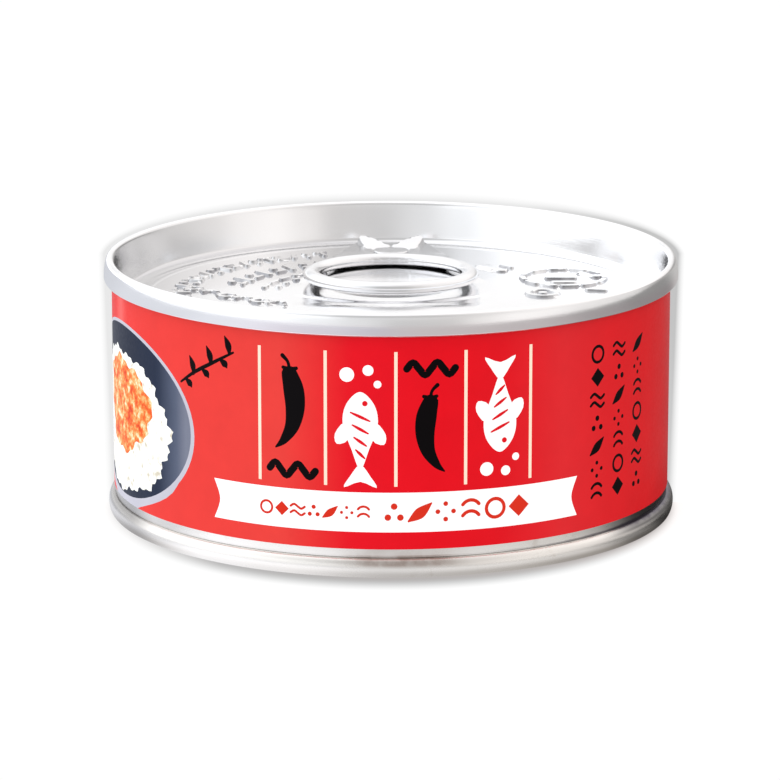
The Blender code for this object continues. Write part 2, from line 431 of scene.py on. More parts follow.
def makeWallSteel():
    # the duller steel of the wall and bottom seam, with stains and painted shade
    s = wallStainsAndShade
    wall = steelLook["wallColour"]
    look = makeSteel("wall tinplate", wall, steelLook["wallRoughness"])
    x, y, z = look.parts(look.place())
    ragged = look.noise(look.place(), s["raggedScale"], 3.0, 0.6)
    # stained in spots, in some patches more than in others
    spots = look.span(look.noise(look.place(), s["spotScale"], 4.0, 0.62), 0.56, 0.72, 0.0, 0.5)
    patches = look.span(look.noise(look.place(), s["patchScale"]), 0.45, 0.6)
    # stained brown on the seam at the front
    middle, reach = s["edgeStainAt"]
    aside = look.math("ABSOLUTE", look.minus(x, middle))
    brown = look.times(look.ease(aside, 0.3 * reach, reach, 1.0, 0.0), look.span(y, 0.0, -0.02))
    brown = look.times(brown, look.ease(z, *s["edgeStainFoot"]))
    brown = look.times(brown, look.ease(z, *s["edgeStainTop"], 1.0, 0.4))
    brown = look.times(brown, look.span(ragged, 0.35, 0.6, 0.55, 1.0))
    # painted shade towards both ends, most of all on the upper side, and towards the foot
    upper = look.ease(z, *s["upperSide"])
    right = look.times(look.ease(x, *s["rightEnd"], 0.0, 0.82), upper)
    left = look.times(look.ease(x, *s["leftEnd"]), look.span(upper, 0.0, 1.0, 0.36, 0.66))
    ends = look.math("MAXIMUM", right, left)
    footSide = look.span(x, *s["footRight"], 0.05, 0.9)
    footSide = look.math("MAXIMUM", footSide, look.span(x, *s["footLeft"], 0.0, 0.6))
    foot = look.times(look.ease(z, *s["footUp"]), footSide)
    # painted shade in the corner above the seam, most of all at the right
    away = look.math("ABSOLUTE", look.minus(z, s["creaseHeight"]))
    reach = look.span(x, *s["creaseSwell"], *s["creaseReach"])
    reach = look.times(reach, look.span(ragged, 0.3, 0.7, 0.6, 1.3))
    creasePaintedShade = look.ease(look.math("DIVIDE", away, reach), 0.1, 1.0, 1.0, 0.0)
    creasePaintedShade = look.times(creasePaintedShade, look.span(x, *s["creaseFrom"], 0.1, 0.97))
    colour = look.tint(brown, wall, s["edgeStain"])
    colour = look.tint(look.times(spots, patches), colour, s["smudge"])
    colour = look.tint(ends, colour, s["endPaintedShade"])
    colour = look.tint(foot, colour, s["footPaintedShade"])
    look.link(look.tint(creasePaintedShade, colour, s["creasePaintedShade"]), "Base Color")
    return look.material


lidSteel = makeLidSteel()
wallSteel = makeWallSteel()
tabSteel = makeSteel("tab steel", steelLook["tabColour"], steelLook["tabRoughness"], 0.000002).material
print("camera and metal finishes ready")


# Lid: a turned sheet with the seam on its rim, and the pressed panel set into it

lidShape = {
    "segments": 288,
    "panelHeight": 28.8,
    "discRadius": 31.9,
    "beadRadius": 32.9,
    "beadHalfWidth": 0.62,
    "beadHeight": 0.13,
    "scoreRadius": 34.5,
    "scoreHalfWidth": 0.12,
    "scoreDepth": 0.05,
    "chuckFoot": 36.11,
    "footRound": 0.75,
    "crestRound": 0.6,
    "wallSag": 0.012,
    "seamBottom": 31.5,
    "seamEdge": 0.34,
    "seamLean": 14,
    "seamWidest": 31.95,
    "seamInside": (37.34, 37.05),
    "hiddenFoot": (0.3, -0.1),
}


def lidProfile():
    s = lidShape
    top = lidHigh.z
    level = s["panelHeight"]
    profile = [(s["discRadius"], level)]
    for i in range(13):
        off = s["beadHalfWidth"] * (-1 + i / 6)
        rise = s["beadHeight"] * (0.5 + 0.5 * cos(pi * off / s["beadHalfWidth"]))
        profile.append((s["beadRadius"] + off, level + rise))
    score = s["scoreRadius"]
    profile.append((score - s["scoreHalfWidth"], level))
    profile.append((score, level - s["scoreDepth"]))
    profile.append((score + s["scoreHalfWidth"], level))
    # the crest's place follows from the can's width, and the sloping wall runs up to it from its foot
    foot, bend = s["chuckFoot"], s["footRound"]
    crest = s["crestRound"]
    seamLean = radians(s["seamLean"])
    bulge = tan(seamLean) * (top - crest + crest * sin(seamLean) - s["seamWidest"]) / 2
    middle = lidHigh.x - bulge - crest * cos(seamLean)
    across, up = middle - foot, top - crest - level
    lean = atan2(across, up) - asin(crest / hypot(across, up))
    start = level + bend * (1 - sin(lean))
    bendMiddle = foot + (start - level) * tan(lean) - bend * cos(lean)
    profile += arcPoints((bendMiddle, level + bend), bend, -90, -degrees(lean), 14)
    end = top - crest * (1 - sin(lean))
    for i in range(1, 8):
        height = start + (end - start) * i / 8
        sag = s["wallSag"] * sin(pi * i / 8)
        profile.append((foot + (height - level) * tan(lean) - sag, height))
    profile += arcPoints((middle, top - crest), crest, 180 - degrees(lean), s["seamLean"], 20)
    # the seam's face bows out to its widest, and turns in under its lower edge
    start, startHeight = profile[-1]
    edge = s["seamEdge"]
    lowest = s["seamBottom"] + edge
    steepness = tan(seamLean) / (startHeight - s["seamWidest"])
    for i in range(1, 11):
        height = startHeight + (lowest - startHeight) * i / 10
        rise = (startHeight - s["seamWidest"]) ** 2 - (height - s["seamWidest"]) ** 2
        profile.append((start + steepness * rise / 2, height))
    profile += arcPoints((profile[-1][0] - edge, lowest), edge, -2, -90, 7)
    outside, inside = s["seamInside"]
    upper, lower = s["hiddenFoot"]
    profile += [(outside, s["seamBottom"]), (inside, s["seamBottom"] + 0.05)]
    profile += [(foot + upper, level), (foot + lower, lidLow.z), (0, lidLow.z)]
    return profile


# Pressed signs on the panel: plain dots, bars, rings and dashes, in two fields left and right of the ring

reliefShape = {
    "height": 0.28,
    "slope": 0.17,
    "step": 0.3,
    "panelStep": 1.1,
    "wellStep": 0.36,
    "wellBack": 0.6,
    "dishStep": 0.45,
}


def onCircle(radius, angle):
    return radius * cos(radians(angle)), radius * sin(radians(angle))


def reliefMarks():
    # each mark is (spine points, half width)
    marks = []

    def dot(x, y, half=0.36):
        marks.append(([(x, y)], half))

    def bar(a, b, half=0.3):
        marks.append(([a, b], half))

    def arc(centre, radius, start, end, half=0.3):
        steps = max(2, int(abs(end - start) * radius / 40))
        marks.append((arcPoints(centre, radius, start, end, steps), half))

    # left field: two bands of small bold signs that follow the bead, with an open field between them
    for i in range(19):
        turn = 110 + 4.3 * i
        if i % 4 == 0:
            arc((0, 0), 29.4, turn - 1.2, turn + 1.2, 0.42)
            bar(onCircle(28.7, turn), onCircle(27.2, turn), 0.36)
        elif i % 4 == 1:
            dot(*onCircle(29.1, turn), 0.62)
            dot(*onCircle(27.2, turn + 0.5), 0.45)
        elif i % 4 == 2:
            bar(onCircle(29.4, turn - 1.0), onCircle(27.3, turn + 1.0), 0.4)
        else:
            arc((0, 0), 29.3, turn - 1.0, turn + 1.0, 0.36)
            arc((0, 0), 27.6, turn - 1.2, turn + 1.2, 0.4)
    for i in range(8):
        turn = 116 + 6.4 * i
        if i % 2:
            dot(*onCircle(22.9, turn), 0.6)
            bar(onCircle(21.0, turn - 1), onCircle(21.0, turn + 2.5), 0.34)
        else:
            bar(onCircle(23.4, turn), onCircle(20.8, turn + 1.5), 0.44)
    for i in range(5):
        turn = 126 + 9.5 * i
        arc((0, 0), 17.6, turn - 2.6, turn + 2.6, 0.4)
        dot(*onCircle(15.8, turn), 0.5)
    # the row of ovals near the front
    for i in range(6):
        t = i / 5
        x = -26.6 + 11.4 * t
        y = 3.3 - 9.4 * t - 0.9 * sin(pi * t)
        arc((x, y), 1.0, 20, 160 if i % 2 else 340, 0.36)
        dot(x + 1.1, y - 1.2, 0.36)
    # right field: a broad bar, a dashed ring, a small round sign and dots
    bar((12.6, 18.4), (15.2, 15.6), 0.95)
    bar((15.4, 18.6), (16.6, 17.4), 0.4)
    for i in range(12):
        turn = 30 * i + 6
        arc((23.6, 10.6), 5.6, turn - 9, turn + 9, 0.46)
    bar((26.3, 13.2), (28.1, 11.4), 0.8)
    bar((21.4, 10.2), (25.0, 10.2), 0.42)
    bar((22.2, 7.4), (24.8, 7.4), 0.5)
    marks.append((arcPoints((20.4, 0.4), 2.0, 0, 340, 18), 0.4))
    dot(20.4, 0.4, 0.7)
    for i in range(5):
        dot(*onCircle(28.6, -3 - 3.6 * i), 0.45)
    bar((26.6, 2.6), (28.8, 2.2), 0.42)
    return marks


def aroundMark(spine, half, slope, step):
    # points on the spine, and on three lines round it: at the foot, the middle and the top of its slope
    spine = np.array(spine, float)
    dense = [spine[0]]
    for a, b in zip(spine, spine[1:]):
        pieces = max(1, int(np.hypot(*(b - a)) / step))
        dense += [a + (b - a) * (i + 1) / pieces for i in range(pieces)]
    found = list(dense)
    for off in (half - slope / 2, half, half + slope / 2):
        if off < 0.05:
            continue
        count = 12 if len(dense) > 1 else 16
        turn = np.array(arcPoints((0, 0), off, 0, 360, count)[:-1])
        ring = np.array([p + side for p in dense for side in turn])
        keep = distanceTo(ring, dense) > off - 0.02
        found += list(ring[keep])
    return found


tabShape = {
    "centre": (0, 7.07),
    "ringRadius": 10.8,
    "ringHalfWidth": 1.2,
    "ringHalfHeight": 0.85,
    "ringHeight": 30.2,
    "tilt": 1.3,
    "noseHalfWidth": 8.3,
    "shoulderY": 23.7,
    "tipHalfWidth": 4.5,
    "tipY": 33.5,
    "noseMiddle": 29.45,
    "noseHalfHeight": 0.36,
    "noseOut": (0.1, 2.2),
    "noseBack": (2, 9),
    "hem": 0.6,
    "hemTurns": (12, 24, 36, 48, 60, 75, 90),
    "lobe": (
        (0.2, 27.4), (1.3, 26.4), (3.0, 25.9), (4.5, 30.0), (4.3, 30.8), (3.7, 31.0), (2.2, 29.6),
    ),
    "lobeFoot": (26.0, 29.8),
    "lobeTop": (30.9, 30.74),
    "lobeEdge": 0.3,
    "sideFall": 0.5,
    "sideFallAcross": 3.0,
    "sideFallFrom": (21.4, 25.9),
    "valleyHalfWidth": 2.0,
    "valleyStart": 27.6,
    "valleyDepth": 0.5,
    "pocketRadius": (2.5, 2.9),
    "pocketDepth": 0.13,
    "pocketRings": (1.9, 2.2, 2.45, 2.6, 2.75, 2.9, 3.1),
    "holeRadius": 1.6,
    "rivetY": 24.8,
    "thinnest": 0.12,
    "gridStep": 0.32,
    "gridFront": 15.07,
    "lobeStep": 0.25,
}

fingerWell = {
    "halfWidth": 15.0,
    "front": -9.1,
    "depth": 0.3,
    "frontBow": 2.4,
    "backMiddle": -4.8,
    "backBow": (2.1, 9.0),
    "rampLength": 3.8,
    "riseLength": 0.9,
    "ends": (0.45, 1.0),
    "lipHeight": 0.16,
    "lipReach": 4.2,
    "lipFall": 2.6,
    "lipEnds": (0.35, 0.8),
}

ringDish = {
    "flatRadius": 0.9,
    "radius": 9.15,
    "depth": 0.46,
    "padHeight": 0.18,
    "padFrom": (7.1, 12.0),
    "padEnd": (12.2, 13.4),
}


def wellDepth(x, y):
    # shallow ramp down from a curved front lip, and a steeper back edge that bows towards the front
    s = fingerWell
    side = np.clip(np.abs(x) / s["halfWidth"], 0, 1)
    front = s["front"] + s["frontBow"] * side**2
    bow, reach = s["backBow"]
    back = s["backMiddle"] + bow * (x / reach) ** 2
    lip = smoothStep(y, front - s["lipReach"], front) * (1 - smoothStep(y, front, front + s["lipFall"]))
    lip *= s["lipHeight"] * (1 - smoothStep(side, *s["lipEnds"]))
    ramp = smoothStep(y, front, front + s["rampLength"])
    rise = 1 - smoothStep(y, back, back + s["riseLength"])
    return s["depth"] * ramp * rise * (1 - smoothStep(side, *s["ends"])) - lip


def dishHeight(x, y):
    # the panel sinks inside the ring, rises ever more steeply, and stays higher under the ring's rear
    s = ringDish
    cx, cy = tabShape["centre"]
    out = np.hypot(x - cx, y - cy)
    pad = s["padHeight"] * smoothStep(y, *s["padFrom"])
    rise = np.clip((out - s["flatRadius"]) / (s["radius"] - s["flatRadius"]), 0, 1) ** 2
    return (s["depth"] + pad) * rise - s["depth"] - pad * smoothStep(out, *s["padEnd"])


def panelDisc():
    s = lidShape
    r = reliefShape
    marks = reliefMarks()
    rim = arcPoints((0, 0), s["discRadius"], 0, 360, s["segments"])[:-1]
    points = list(rim)
    for spine, half in marks:
        points += aroundMark(spine, half, r["slope"], r["step"])
    reach = s["discRadius"]
    well = fingerWell
    coarse = gridPoints((-reach, -reach), (reach, reach), r["panelStep"])
    wellFront = well["front"] - well["lipReach"]
    wellBack = r["wellBack"]
    fine = gridPoints((-well["halfWidth"], wellFront), (well["halfWidth"], wellBack), r["wellStep"])
    wide = ringDish["padEnd"][1]
    dishBack = tabShape["centre"][1] + wide
    fine += gridPoints((-wide, wellBack), (wide, dishBack), r["dishStep"])
    spread = np.array(coarse)
    x, y = np.abs(spread[:, 0]), spread[:, 1]
    near = (x < well["halfWidth"]) & (y > wellFront) & (y < wellBack)
    near |= (x < wide) & (y > wellBack - 0.1) & (y < dishBack)
    points += [tuple(p) for p in spread[~near & (np.hypot(x, y) < reach - 0.5)]] + fine
    flat, _, faces, _, _, _ = delaunay_2d_cdt([Vector(p) for p in points], [], [], 0, 1e-4)
    flat = np.array([tuple(p) for p in flat])
    heights = np.zeros(len(flat))
    for spine, half in marks:
        away = distanceTo(flat, spine)
        rise = 1 - smoothStep(away, half - r["slope"] / 2, half + r["slope"] / 2)
        heights = np.maximum(heights, r["height"] * rise)
    heights += dishHeight(flat[:, 0], flat[:, 1]) - wellDepth(flat[:, 0], flat[:, 1])
    solid = np.column_stack([flat, s["panelHeight"] + heights])
    return solid, [list(f) for f in faces]


def makeLid():
    points, faces = turnedMesh(lidProfile(), lidShape["segments"])
    discPoints, discFaces = panelDisc()
    start = len(points)
    points += [tuple(p) for p in discPoints]
    faces += [[c + start for c in face] for face in discFaces]
    lid = addMesh("lidSheet", points, faces)
    lid.data.materials.append(lidSteel)
    tidyMesh(lid, 50)
    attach(lid, "root")
    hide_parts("lid")


makeLid()
print("lid made")


# Wall and bottom end

wallShape = {
    "segments": 288,
    "radius": 37.28,
    "top": 31.42,
    "bottom": 2.53,
    "insideRadius": 37.1,
    "plugTop": 27.6,
    "plugRadius": 35.9,
}

baseShape = {
    "seamTop": 2.55,
    "seamRounds": (0.9, 2.1, 0.4),
    "seamLean": 25,
    "standingRing": 37.0,
    "standingRound": 0.3,
    "groove": (35.5, 36.0, 2.0),
    "grooveRound": 0.35,
    "panelRadius": 34.9,
    "panelHeight": 1.4,
    "panelRound": 0.25,
    "ringRadii": (26.0, 17.0),
    "ringHalfWidth": 0.7,
    "ringStep": 0.25,
}


def makeWall():
    s = wallShape
    profile = [
        (0, s["plugTop"]),
        (s["plugRadius"], s["plugTop"]),
        (s["insideRadius"] - 0.2, lidShape["panelHeight"]),
        (s["insideRadius"], s["top"] - 0.1),
        (s["insideRadius"], s["top"]),
        (s["radius"], s["top"]),
        (s["radius"], s["bottom"]),
        (0, s["bottom"]),
    ]
    wall = addMesh("canWall", *turnedMesh(profile, s["segments"]))
    wall.data.materials.append(wallSteel)
    tidyMesh(wall, 30)
    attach(wall, "root")
    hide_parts("body")


def seamFace(outer):
    # one round bulge: top, middle and foot arcs that run on into each other, the middle one furthest out
    s = baseShape
    top, middle, foot = s["seamRounds"]
    lean = s["seamLean"]
    across, up = cos(radians(lean)), sin(radians(lean))
    meet = outer - middle + middle * across
    centre = foot - foot * up + middle * up
    face = arcPoints((meet - top * across, centre + (middle - top) * up), top, 78, lean, 8)
    face += arcPoints((outer - middle, centre), middle, lean, -lean, 12)[1:]
    face += arcPoints((meet - foot * across, foot), foot, -lean, -90, 8)[1:]
    return face


def baseProfile():
    s = baseShape
    hidden = s["seamTop"] - 0.1
    profile = [(0, hidden), (wallShape["radius"] - 0.3, hidden)]
    profile += seamFace(baseHigh.x)
    inner, bend = s["standingRing"], s["standingRound"]
    profile += arcPoints((inner + bend, bend), bend, -90, -170, 6)
    start, end, top = s["groove"]
    bend = s["grooveRound"]
    profile += arcPoints((end, top - bend), bend, 20, 90, 6)
    profile += arcPoints((start, top - bend), bend, 90, 160, 6)
    level = s["panelHeight"]
    bend = s["panelRound"]
    profile += arcPoints((s["panelRadius"], level + bend), bend, 20, -90, 8)[2:]
    for radius in s["ringRadii"]:
        for i in range(9):
            off = s["ringHalfWidth"] * (1 - i / 4)
            rise = s["ringStep"] * (0.5 - 0.5 * cos(pi * i / 8))
            profile.append((radius + off, level + rise))
        level += s["ringStep"]
    profile.append((0, level))
    return profile


def makeBase():
    base = addMesh("bottomEnd", *turnedMesh(baseProfile(), wallShape["segments"]))
    base.data.materials.append(wallSteel)
    tidyMesh(base, 50)
    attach(base, "root")
    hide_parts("base")


makeWall()
makeBase()
print("wall and bottom end made")


# Pull tab: one pressed piece, ring in front and nose behind

def tabReach(turn):
    # distance from the ring's centre to the outline, in the direction turn
    s = tabShape
    ring = s["ringRadius"] + s["ringHalfWidth"]
    ux, uy = abs(cos(turn)), sin(turn)
    straight = s["noseHalfWidth"] / max(ux, 1e-6)
    if uy > 0:
        cx, cy = s["centre"]
        shoulder = Vector((s["noseHalfWidth"], s["shoulderY"] - cy))
        corner = Vector((s["tipHalfWidth"], s["tipY"] - cy))
        side = corner - shoulder
        normal = Vector((side.y, -side.x)).normalized()
        facing = normal.x * ux + normal.y * uy
        slanted = normal.dot(shoulder) / facing if facing > 1e-6 else 1e6
        tip = (s["tipY"] - cy) / uy
        nose = (straight**-16 + slanted**-16 + tip**-16) ** (-1 / 16)
    else:
        nose = min(straight, ring * 0.8)
    return (ring**24 + nose**24) ** (1 / 24)


def tabLoops():
    s = tabShape
    cx, cy = s["centre"]
    outline = []
    for k in range(360):
        turn = radians(k)
        reach = tabReach(turn)
        outline.append((cx + reach * cos(turn), cy + reach * sin(turn)))
    hole = arcPoints(s["centre"], s["ringRadius"] - s["ringHalfWidth"], 0, 360, 220)[:-1]
    rivetHole = arcPoints((0, s["rivetY"]), s["holeRadius"], 0, 360, 32)[:-1]
    return outline, hole, rivetHole


def shiftedLoop(loop, off):
    # the loop moved sideways, inwards for a loop that runs anticlockwise
    loop = np.array(loop)
    along = np.roll(loop, -1, axis=0) - np.roll(loop, 1, axis=0)
    normal = np.column_stack([-along[:, 1], along[:, 0]])
    normal /= np.hypot(*normal.T)[:, None]
    return loop + normal * off


def tabSurface(points, loops):
    # middle height and half thickness over every point
    s = tabShape
    x, y = points[:, 0], points[:, 1]
    cx, cy = s["centre"]
    fromCentre = np.hypot(x - cx, y - cy)
    outline, hole, rivetHole = loops
    away = np.minimum(distanceTo(points, outline, True), distanceTo(points, hole, True))
    start, end = s["noseOut"]
    behind = smoothStep(fromCentre, s["ringRadius"] + start, s["ringRadius"] + end)
    start, end = s["noseBack"]
    inNose = behind * smoothStep(y, cy + start, cy + end)
    tilt = tan(radians(s["tilt"]))
    ringMiddle = s["ringHeight"] - tilt * (y - cy)
    middle = ringMiddle + (s["noseMiddle"] - ringMiddle) * inNose
    half = s["ringHalfHeight"] + (s["noseHalfHeight"] - s["ringHalfHeight"]) * inNose
    hem = s["ringHalfWidth"] + (s["hem"] - s["ringHalfWidth"]) * inNose
    edge = np.sqrt(np.clip(1 - (1 - np.minimum(away, hem) / hem) ** 2, 0, 1))
    # two raised lobes that lean towards the viewer, a valley between them, and sides that fall away
    across = np.column_stack([np.abs(x), y])
    lobeLoop = s["lobe"]
    outside = np.where(insideLoop(across, lobeLoop), 0, distanceTo(across, lobeLoop, True))
    (footY, footZ), (topY, topZ) = s["lobeFoot"], s["lobeTop"]
    plane = footZ + (topZ - footZ) * (np.minimum(y, topY) - footY) / (topY - footY)
    lobe = np.maximum(plane - middle - half, 0) * (1 - smoothStep(outside, 0, s["lobeEdge"]))
    fall = s["sideFall"] * smoothStep(np.abs(x), s["sideFallAcross"], s["noseHalfWidth"])
    fall *= smoothStep(y, *s["sideFallFrom"])
    down = np.clip((y - s["valleyStart"]) / (s["tipY"] - s["valleyStart"]), 0, 1)
    spread = 0.2 + s["valleyHalfWidth"] * down
    valley = s["valleyDepth"] * np.minimum(4 * down, 1) * np.clip(1.4 - np.abs(x) / spread, 0, 1)
    valley *= smoothStep(outside, 0, s["lobeEdge"])
    pocket = s["pocketDepth"] * (1 - smoothStep(np.hypot(x, y - s["rivetY"]), *s["pocketRadius"]))
    lift = lobe - valley - fall * inNose * (lobe < 0.01)
    top = middle + half * edge + lift - pocket
    bottom = middle - half * edge + np.minimum(lift, 0) * 0.6 - pocket * 0.3
    bottom = np.minimum(bottom, top - s["thinnest"])
    onEdge = away < 1e-3
    onHole = distanceTo(points, rivetHole, True) < 1e-3
    level = middle + lift * 0.5
    top = np.where(onEdge, level, top)
    bottom = np.where(onEdge, level, bottom)
    both = (top + bottom) / 2
    top = np.where(onHole, both, top)
    bottom = np.where(onHole, both, bottom)
    return top, bottom, onEdge | onHole


def makeTab():
    # a flat net of points over the outline, lifted into a top and a bottom that share their edges
    s = tabShape
    loops = tabLoops()
    outline, hole, rivetHole = loops
    loose = []
    for turn in s["hemTurns"]:
        share = 1 - cos(radians(turn))
        loose += [tuple(p) for p in shiftedLoop(hole, -share * s["ringHalfWidth"])]
        for start, p in zip(np.array(outline), shiftedLoop(outline, share)):
            inNose = start[1] > s["centre"][1] + s["noseBack"][1]
            hem = s["hem"] if inNose else s["ringHalfWidth"]
            loose.append(tuple(start + (p - start) * hem))
    low = (-s["noseHalfWidth"], s["gridFront"])
    high = (s["noseHalfWidth"], s["tipY"])
    loose += gridPoints(low, high, s["gridStep"])
    lobeLoop = np.array(s["lobe"])
    for off in (-s["lobeEdge"], -s["lobeEdge"] / 2, 0.0):
        shifted = shiftedLoop(lobeLoop, off)
        for a, b in zip(shifted, np.roll(shifted, -1, axis=0)):
            pieces = int(np.hypot(*(b - a)) / s["lobeStep"]) + 1
            spots = [a + (b - a) * i / pieces for i in range(pieces)]
            loose += [(side * px, py) for px, py in spots for side in (-1, 1)]
    for radius in s["pocketRings"]:
        loose += arcPoints((0, s["rivetY"]), radius, 0, 360, 40)[:-1]
    loose = np.array(loose)
    keep = insideLoop(loose, outline) & ~insideLoop(loose, hole) & ~insideLoop(loose, rivetHole)
    for loop in loops:
        keep &= distanceTo(loose, loop, True) > 0.015
    corners = [*outline, *hole, *rivetHole, *[tuple(p) for p in loose[keep]]]
    edges = []
    start = 0
    for loop in loops:
        edges += [(start + k, start + (k + 1) % len(loop)) for k in range(len(loop))]
        start += len(loop)
    flat, _, faces, _, _, _ = delaunay_2d_cdt([Vector(p) for p in corners], edges, [], 0, 1e-5)
    flat = np.array([tuple(p) for p in flat])
    faces = np.array([list(f) for f in faces])
    middles = flat[faces].mean(axis=1)
    inside = insideLoop(middles, outline) & ~insideLoop(middles, hole) & ~insideLoop(middles, rivetHole)
    faces = faces[inside]
    top, bottom, shared = tabSurface(flat, loops)
    points = [(x, y, z) for (x, y), z in zip(flat, top)]
    under = list(range(len(flat)))
    for i in np.flatnonzero(~shared):
        under[i] = len(points)
        points.append((*flat[i], bottom[i]))
    allFaces = [list(f) for f in faces] + [[under[c] for c in reversed(f)] for f in faces]
    tab = addMesh("pullTab", points, allFaces)
    tab.data.materials.append(tabSteel)
    bm = bmesh.new()
    bm.from_mesh(tab.data)
    bmesh.ops.delete(bm, geom=[v for v in bm.verts if not v.link_faces], context="VERTS")
    bm.to_mesh(tab.data)
    bm.free()
    tidyMesh(tab, 60, merge=0.002)
    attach(tab, "root")
    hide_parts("tab")


rivetShape = {
    "top": 29.9,
    "footBelowPanel": 0.05,
    "headRadius": 2.45,
    "headRound": 0.14,
    "headThickness": 0.2,
    "shankRadius": 1.3,
    "shankSpread": 0.25,
    "dimpleRadius": 1.2,
    "dimple": 0.03,
}


def makeRivet():
    s = rivetShape
    top = s["top"]
    foot = lidShape["panelHeight"] - s["footBelowPanel"]
    profile = []
    for i in range(7):
        sunk = s["dimple"] * (0.5 + 0.5 * cos(pi * i / 6))
        profile.append((s["dimpleRadius"] * i / 6, top - sunk))
    edge = s["headRound"]
    profile += arcPoints((s["headRadius"] - edge, top - edge), edge, 90, 0, 6)
    under = top - s["headThickness"]
    shank = s["shankRadius"]
    profile += [(s["headRadius"] - 0.04, under), (shank, under), (shank, foot + 0.3)]
    profile += [(shank + s["shankSpread"], foot), (0, foot)]
    points, faces = turnedMesh(profile, 64)
    points = [(x, y + tabShape["rivetY"], z) for x, y, z in points]
    rivet = addMesh("rivetHead", points, faces)
    rivet.data.materials.append(tabSteel)
    tidyMesh(rivet, 50)
    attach(rivet, "root")
    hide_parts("rivet")


makeTab()
makeRivet()
print("pull tab and rivet made")


# Paper label: inks first, then the print as flat shapes in (length round the can, height), then the sheet

inks = {
    "red": tone(226, 10, 26),
    "cream": tone(255, 224, 202),
    "white": tone(255, 254, 254),
    "black": tone(6, 2, 4),
    "redOrange": tone(212, 46, 26),
    "navy": tone(30, 40, 62),
    "rice": tone(252, 251, 244),
    "china": tone(190, 188, 198),
}

paperFinish = {
    "roughness": 0.4,
    "specular": 0.08,
    "fibreScale": 1900.0,
    "fibreDepth": 0.00001,
    "unevenScale": 260.0,
    "mottle": 0.03,
    "turnedMottle": 0.06,
    "lumpScale": 700.0,
    "grainScale": 800.0,
}


def paperLook(name, colour):
    s = paperFinish
    look = Look("label " + name, colour, s["roughness"], specular=s["specular"])
    fibres = look.noise(look.place(), s["fibreScale"], 3.0, 0.6)
    look.link(look.span(fibres, 0.3, 0.7, s["roughness"] - 0.04, s["roughness"] + 0.05), "Roughness")
    look.link(look.bump(fibres, s["fibreDepth"], 0.5), "Normal")
    return look


def makeInk(name, colour):
    # the ink lies a little unevenly, over paper fibres
    look = paperLook(name, colour)
    uneven = look.noise(look.place(), paperFinish["unevenScale"], 4.0, 0.6)
    light = tuple(min(1.0, c * (1 + paperFinish["mottle"])) for c in colour)
    dark = tuple(c * (1 - paperFinish["mottle"]) for c in colour)
    look.link(look.ramp(uneven, [(0.3, dark), (0.7, light)]), "Base Color")
    return look.material


# the red with painted light, by the turn from the front towards the right: a painted sheen on the left
# with a narrow painted highlight near -72 degrees, and painted shade towards the right
redSheenAndShadeStops = [
    (-180, tone(212, 30, 34)), (-80, tone(226, 40, 38)), (-76, tone(230, 46, 42)),
    (-72, tone(243, 98, 92)), (-68, tone(230, 52, 46)), (-50, tone(229, 60, 54)),
    (-22, tone(230, 64, 58)), (-8, tone(228, 16, 32)), (8, tone(226, 8, 26)), (22, tone(222, 14, 28)),
    (36, tone(218, 38, 44)), (50, tone(212, 22, 30)), (62, tone(206, 16, 24)), (74, tone(200, 20, 26)),
    (80, tone(196, 24, 30)), (180, tone(212, 30, 34)),
]

# the bowl's glaze catches light towards its right edge
navyStops = [
    (-64, tone(26, 36, 58)), (-54, tone(34, 44, 66)), (-48, tone(84, 92, 112)), (-45, tone(120, 124, 140)),
]


def makeTurnedInk(name, stops):
    # an ink whose tone changes round the can, lying a little unevenly; on the red that change is painted
    # sheen, highlight and shade
    look = paperLook(name, stops[0][1])
    x, y, z = look.parts(look.place())
    band = [(angle / 360 + 0.5, colour) for angle, colour in stops]
    plain = look.ramp(look.turnShare(x, y), band)
    uneven = look.noise(look.place(), paperFinish["unevenScale"], 4.0, 0.6)
    share = look.span(uneven, 0.3, 0.7, paperFinish["turnedMottle"], 0.0)
    look.link(look.tint(share, plain, (0.0, 0.0, 0.0)), "Base Color")
    return look.material


def makeTopping():
    # chopped topping in the pictured bowl, mottled from orange to pale
    stops = [
        (0.3, tone(206, 54, 20)), (0.41, tone(234, 90, 32)), (0.5, tone(246, 138, 64)),
        (0.58, tone(252, 192, 128)), (0.68, tone(255, 236, 204)),
    ]
    look = paperLook("topping", stops[1][1])
    lumps = look.noise(look.place(), paperFinish["lumpScale"], 3.0, 0.7)
    look.link(look.ramp(lumps, stops), "Base Color")
    return look.material


def makeRice():
    # cooked rice in the pictured bowl: pale, with faint shade between the grains
    shade = tone(206, 197, 176)
    look = paperLook("rice", inks["rice"])
    grains = look.noise(look.place(), paperFinish["grainScale"])
    look.link(look.ramp(grains, [(0.3, shade), (0.45, inks["rice"]), (1.0, inks["rice"])]), "Base Color")
    return look.material


def smoothCurve(points, closed=False, steps=6):
    # a soft curve through the points, each stretch bent by its neighbours
    count = len(points)
    found = []
    for i in range(count if closed else count - 1):
        near = [i - 1, i, i + 1, i + 2]
        if not closed:
            near = [min(max(k, 0), count - 1) for k in near]
        a, b, c, d = [np.array(points[k % count], float) for k in near]
        for j in range(steps):
            t = j / steps
            bend = (2 * a - 5 * b + 4 * c - d) * t**2 + (3 * b - a - 3 * c + d) * t**3
            found.append(tuple((2 * b + (c - a) * t + bend) / 2))
    if not closed:
        found.append(tuple(points[-1]))
    return found


